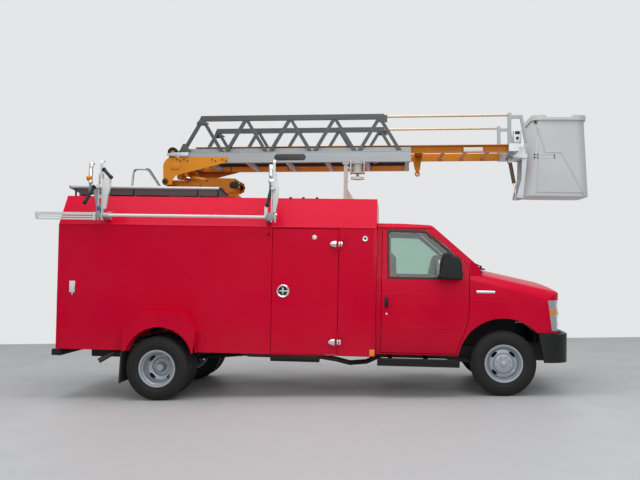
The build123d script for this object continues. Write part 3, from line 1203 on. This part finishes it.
def work_lamp():
    """The round flood lamp hung on the rest post, with its shallow shade below."""
    x, z = REST_X + 145, TURRET_BASE_Z + 312
    y = REST_Y - 20
    body = rod((x, y, z - 62), (x, y, z + 62), 62) + rod((x, y, z + 50), (x, y, z + 66), 90)
    body += rod((x, y, z - 66), (x, y, z - 50), 90)
    shade = rod((x, y, z - 140), (x, y, z - 112), 82) + rod((x, y, z - 113), (x, y, z - 60), 18)
    arm = block(REST_X + 24 + SEAT, x, y - 12, y + 12, z - 14, z + 14)
    return body + shade + arm


def side_door():
    """The side service door, flush in the right wall, with two external hinges."""
    shape = side_door_prism(DOOR_GAP) & slab_x(box_outline(0), BOX_REAR, BOX_FRONT)
    shape -= block(0, 3000, -BOX_HALF + DOOR_THICKNESS, 0, 0, 3000)
    x, y = SIDE_DOOR_HINGE
    for z in SIDE_HINGES:
        shape += rod((x, y, z - SIDE_KNUCKLE), (x, y, z + SIDE_KNUCKLE), HINGE_RADIUS)
        shape += block(SIDE_DOOR_FRONT - 90, x, y - 3, -BOX_HALF - 2, z - SIDE_KNUCKLE, z + SIDE_KNUCKLE)
        shape += block(SIDE_DOOR_FRONT - 90, SIDE_DOOR_FRONT - 20, y - 3, -BOX_HALF + 1, z - SIDE_KNUCKLE,
                       z + SIDE_KNUCKLE)
    return shape


def rear_door(side):
    """One of the two rear doors, flush in the rear wall; the left one carries the lock bar."""
    shape = rear_door_prism(DOOR_GAP) & block(BOX_REAR, BOX_REAR + DOOR_THICKNESS, 5, 2000, 0, 3000)
    x, y = REAR_DOOR_HINGE
    for z in REAR_HINGES:
        shape += rod((x, y, z - SIDE_KNUCKLE), (x, y, z + SIDE_KNUCKLE), HINGE_RADIUS)
        shape += block(x - 3, BOX_REAR - 2, y - 80, y, z - SIDE_KNUCKLE, z + SIDE_KNUCKLE)
        shape += block(x - 3, BOX_REAR + 1, y - 80, y - 20, z - SIDE_KNUCKLE, z + SIDE_KNUCKLE)
    if side < 0:
        return mirror(shape, Plane.XZ)
    shape += block(BOX_REAR - 30, BOX_REAR - 16, 44, 64, 900, 1900)
    for z in (950, 1400, 1850):
        shape += block(BOX_REAR - 17, BOX_REAR + 1, 44, 64, z, z + 40)
    return shape


# Every piece by name: the frame and body, then what moves.
FIXED_SPRUNG = {
    "chassis_frame": chassis_frame, "engine": engine, "fuel_tank": fuel_tank, "exhaust": exhaust,
    "cab_shell": cab_shell, "front_clip": front_clip, "grille": grille, "headlamps": headlamps,
    "windscreen": windscreen, "front_bumper": front_bumper, "running_boards": running_boards,
    "seats": seats, "dashboard": dashboard, "box_body": box_body,
    "wheel_flares": lambda: flare(-1) + flare(1), "rear_bumper": rear_bumper, "body_lamps": body_lamps,
    "mud_flaps": mud_flaps, "roof_platform": roof_platform, "rack_mounts": rack_mounts,
    "boom_rest": boom_rest, "work_lamp": work_lamp, "pedestal": pedestal,
}
MOVING_SPRUNG = {
    "bonnet": bonnet, "side_door": side_door, "ladder_rack": ladder_rack, "turret_head": turret_head,
    "lift_barrel": lift_barrel, "lift_rod": lift_rod, "outer_beams": outer_beams, "trusses": trusses,
    "boom_bracket": boom_bracket, "fly_beams": fly_beams, "fly_rails": fly_rails,
    "fly_tip": lambda: fly_tip() + level_lugs(), "level_barrel": level_barrel, "level_rod": level_rod,
    "bucket_arm": bucket_arm, "bucket": bucket,
}
SIDES = (("left", 1), ("right", -1))


def build():
    """All pieces by name, at their finished places but still counted from the rear axle."""
    pieces = {name: seated(make()) for name, make in {**FIXED_SPRUNG, **MOVING_SPRUNG}.items()}
    pieces["front_axle"] = front_axle()
    pieces["rear_axle"] = rear_axle()
    for word, side in SIDES:
        pieces[f"cab_door_{word}"] = seated(cab_door(side))
        pieces[f"door_glass_{word}"] = seated(door_glass(side))
        pieces[f"mirror_{word}"] = seated(mirror_head(side))
        pieces[f"rear_door_{word}"] = seated(rear_door(side))
        pieces[f"knuckle_{word}"] = knuckle(side)
        front_tyre, front_rim = front_wheel(side)
        pieces[f"front_tyre_{word}"] = at_front(front_tyre)
        pieces[f"front_rim_{word}"] = at_front(front_rim)
        rear_tyres, rear_rims = rear_wheels(side)
        pieces[f"rear_tyres_{word}"] = at_rear(rear_tyres)
        pieces[f"rear_rims_{word}"] = at_rear(rear_rims)
    return pieces


PIECES = build()
LOW_X = min(piece.bounding_box().min.X for piece in PIECES.values())
HIGH_X = max(piece.bounding_box().max.X for piece in PIECES.values())
ORIGIN_X = (LOW_X + HIGH_X) / 2

os.makedirs("parts", exist_ok=True)
for piece_name, piece in PIECES.items():
    export_step(Pos(-ORIGIN_X, 0, 0) * piece, f"parts/{piece_name}.step")
